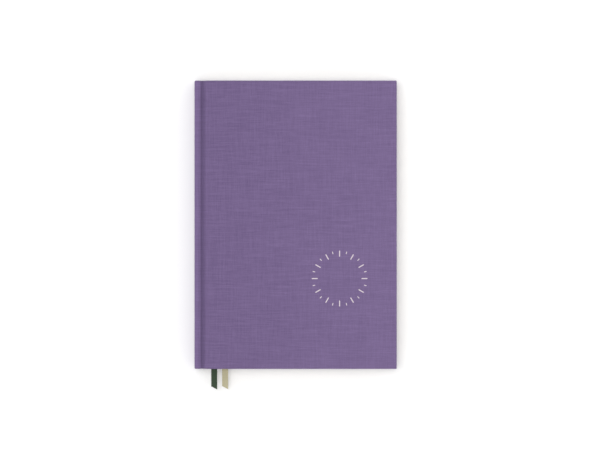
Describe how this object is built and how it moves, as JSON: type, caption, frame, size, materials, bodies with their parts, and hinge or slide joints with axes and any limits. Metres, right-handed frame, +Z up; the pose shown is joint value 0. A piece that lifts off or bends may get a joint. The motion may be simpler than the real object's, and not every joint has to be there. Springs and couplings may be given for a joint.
{
  "type": "clothbound planner",
  "caption": "Clothbound A5 planner with sewn sections, covers hinged at grooves and ribbon markers at the tail.",
  "frame": {"origin": "centre of the closed book's underside, ribbons left out", "axes": "+X from the spine to the fore-edge, +Y from the tail to the head, +Z up out of the front cover"},
  "size_m": [0.1516, 0.2318, 0.021],
  "materials": {
    "bookcloth": "purple linen weave, matte",
    "greyboard": "matte",
    "endpaper": "matte, uncoated",
    "leaf": "matte, uncoated",
    "gauze": "open cotton weave",
    "kraft": "matte kraft",
    "thread": "waxed linen thread",
    "band": "striped woven band",
    "green_satin": "woven satin ribbon",
    "cream_satin": "woven satin ribbon"
  },
  "bodies": {
    "block": {"section_12": "leaf", "back_flyleaf": "endpaper", "mull": "gauze", "spine_lining": "kraft", "headband": "band", "tailband": "band", "rear_joint_cloth": "bookcloth", "sewing_1": "thread", "sewing_2": "thread", "sewing_3": "thread", "sewing_4": "thread", "sewing_5": "thread"},
    "spine": {"spine_board": "greyboard", "spine_cloth": "bookcloth"},
    "front_cover": {"front_board": "greyboard", "front_cover_cloth": "bookcloth", "front_pastedown": "endpaper"},
    "back_cover": {"back_board": "greyboard", "back_cover_cloth": "bookcloth", "back_pastedown": "endpaper"},
    "leaves_11": {"section_11": "leaf"},
    "leaves_10": {"section_10": "leaf"},
    "leaves_09": {"section_09": "leaf"},
    "leaves_08": {"section_08": "leaf"},
    "leaves_07": {"section_07": "leaf"},
    "leaves_06": {"section_06": "leaf"},
    "leaves_05": {"section_05": "leaf"},
    "leaves_04": {"section_04": "leaf"},
    "leaves_03": {"section_03": "leaf"},
    "leaves_02": {"section_02": "leaf"},
    "leaves_01": {"section_01": "leaf", "front_flyleaf": "endpaper", "front_joint_cloth": "bookcloth"},
    "green_marker": {"green_ribbon": "green_satin"},
    "cream_marker": {"cream_ribbon": "cream_satin"}
  },
  "joints": [
    {"name": "open_flat", "type": "hinge", "parent": "block", "child": "leaves_11", "pos_m": [-0.07295, 0, 0.00465], "axis": [0, -1, 0], "range_deg": [0, 16.36], "deforming": ["mull", "spine_lining", "headband", "tailband", "rear_joint_cloth", "sewing_1", "sewing_2", "sewing_3", "sewing_4", "sewing_5"]},
    {"name": "turn_10", "type": "hinge", "parent": "leaves_11", "child": "leaves_10", "pos_m": [-0.07295, 0, 0.00585], "axis": [0, -1, 0], "range_deg": [0, 16.5]},
    {"name": "turn_09", "type": "hinge", "parent": "leaves_10", "child": "leaves_09", "pos_m": [-0.07295, 0, 0.00705], "axis": [0, -1, 0], "range_deg": [0, 16.5]},
    {"name": "turn_08", "type": "hinge", "parent": "leaves_09", "child": "leaves_08", "pos_m": [-0.07295, 0, 0.00825], "axis": [0, -1, 0], "range_deg": [0, 16.5]},
    {"name": "turn_07", "type": "hinge", "parent": "leaves_08", "child": "leaves_07", "pos_m": [-0.07295, 0, 0.00945], "axis": [0, -1, 0], "range_deg": [0, 16.5]},
    {"name": "turn_06", "type": "hinge", "parent": "leaves_07", "child": "leaves_06", "pos_m": [-0.07295, 0, 0.01065], "axis": [0, -1, 0], "range_deg": [0, 16.5]},
    {"name": "turn_05", "type": "hinge", "parent": "leaves_06", "child": "leaves_05", "pos_m": [-0.07295, 0, 0.01185], "axis": [0, -1, 0], "range_deg": [0, 16.5]},
    {"name": "turn_04", "type": "hinge", "parent": "leaves_05", "child": "leaves_04", "pos_m": [-0.07295, 0, 0.01305], "axis": [0, -1, 0], "range_deg": [0, 16.5]},
    {"name": "turn_03", "type": "hinge", "parent": "leaves_04", "child": "leaves_03", "pos_m": [-0.07295, 0, 0.01425], "axis": [0, -1, 0], "range_deg": [0, 16.5]},
    {"name": "turn_02", "type": "hinge", "parent": "leaves_03", "child": "leaves_02", "pos_m": [-0.07295, 0, 0.01545], "axis": [0, -1, 0], "range_deg": [0, 16.5]},
    {"name": "turn_01", "type": "hinge", "parent": "leaves_02", "child": "leaves_01", "pos_m": [-0.07295, 0, 0.01665], "axis": [0, -1, 0], "range_deg": [0, 16.5]},
    {"name": "spine_turn", "type": "hinge", "parent": "block", "child": "spine", "pos_m": [-0.07135, 0, 0.00465], "axis": [0, -1, 0], "range_deg": [0, 90.5]},
    {"name": "front_cover_swing", "type": "hinge", "parent": "leaves_01", "child": "front_cover", "pos_m": [-0.07155, 0, 0.02125], "axis": [0, -1, 0], "range_deg": [0, 179], "deforming": ["front_joint_cloth"]},
    {"name": "back_cover_swing", "type": "hinge", "parent": "block", "child": "back_cover", "pos_m": [-0.07155, 0, -0.00025], "axis": [0, -1, 0], "range_deg": [-179, 0]},
    {"name": "green_marker_swing", "type": "hinge", "parent": "leaves_05", "child": "green_marker", "pos_m": [-0.07165, 0.103, 0.0128], "axis": [0, 0, 1], "range_deg": [-1, 25]},
    {"name": "cream_marker_swing", "type": "hinge", "parent": "leaves_09", "child": "cream_marker", "pos_m": [-0.07165, 0.103, 0.008], "axis": [0, 0, 1], "range_deg": [-1, 25]}
  ],
  "couplings": [
    {"joint": "turn_10", "follows": "open_flat", "ratio": 1},
    {"joint": "turn_09", "follows": "open_flat", "ratio": 1},
    {"joint": "turn_08", "follows": "open_flat", "ratio": 1},
    {"joint": "turn_07", "follows": "open_flat", "ratio": 1},
    {"joint": "turn_06", "follows": "open_flat", "ratio": 1},
    {"joint": "turn_05", "follows": "open_flat", "ratio": 1},
    {"joint": "turn_04", "follows": "open_flat", "ratio": 1},
    {"joint": "turn_03", "follows": "open_flat", "ratio": 1},
    {"joint": "turn_02", "follows": "open_flat", "ratio": 1},
    {"joint": "turn_01", "follows": "open_flat", "ratio": 1},
    {"joint": "spine_turn", "follows": "open_flat", "ratio": 5.5}
  ]
}
